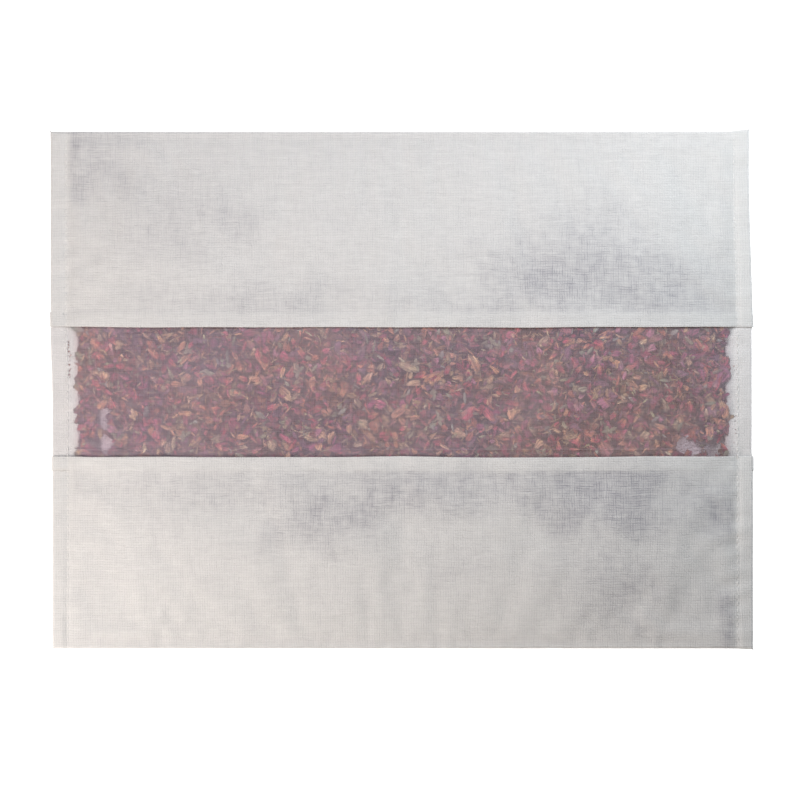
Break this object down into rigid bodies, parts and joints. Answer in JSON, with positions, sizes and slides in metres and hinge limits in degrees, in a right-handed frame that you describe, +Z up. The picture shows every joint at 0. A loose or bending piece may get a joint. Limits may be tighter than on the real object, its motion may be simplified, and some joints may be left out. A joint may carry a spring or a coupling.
{
  "type": "eye pillow",
  "caption": "Flat linen eye pillow filled with dried rose petals, with a sheer organza window across the front and topstitched side flanges.",
  "frame": {"origin": "centre of the footprint, on the surface the pillow rests on when it lies on its back", "axes": "+Z up out of the front, +X across the width, +Y towards the top edge (the wider of the two bands beside the window)"},
  "size_m": [0.24, 0.177, 0.0175],
  "materials": {
    "linen": "plain-weave slubby linen, off-white and slightly see-through",
    "organza": "sheer organza, fine even mesh, see-through",
    "thread": "off-white twisted sewing thread",
    "packed_fill": "settled dried rose petals, dark crimson",
    "crimson_petal": "dried rose petal, dark crimson to plum, matt and wrinkled",
    "pink_petal": "dried rose petal, rose pink, matt",
    "amber_petal": "dried rose petal base, amber to orange, matt",
    "calyx": "dried calyx, grey-green to straw",
    "leaf": "dried leaf flake, grey-green",
    "stem": "dried stalk and stamen, straw to cream"
  },
  "bodies": {
    "root": {"linen_back_panel": "linen", "upper_linen_panel": "linen", "lower_linen_panel": "linen", "organza_window": "organza", "left_topstitch": "thread", "right_topstitch": "thread", "top_edge_seam": "thread", "bottom_edge_seam": "thread", "left_edge_seam": "thread", "upper_window_seam": "thread", "lower_window_seam": "thread", "packed_petals": "packed_fill", "crimson_petals": "crimson_petal", "pink_petals": "pink_petal", "amber_petals": "amber_petal", "calyxes": "calyx", "leaf_flakes": "leaf", "stems": "stem"}
  },
  "joints": []
}
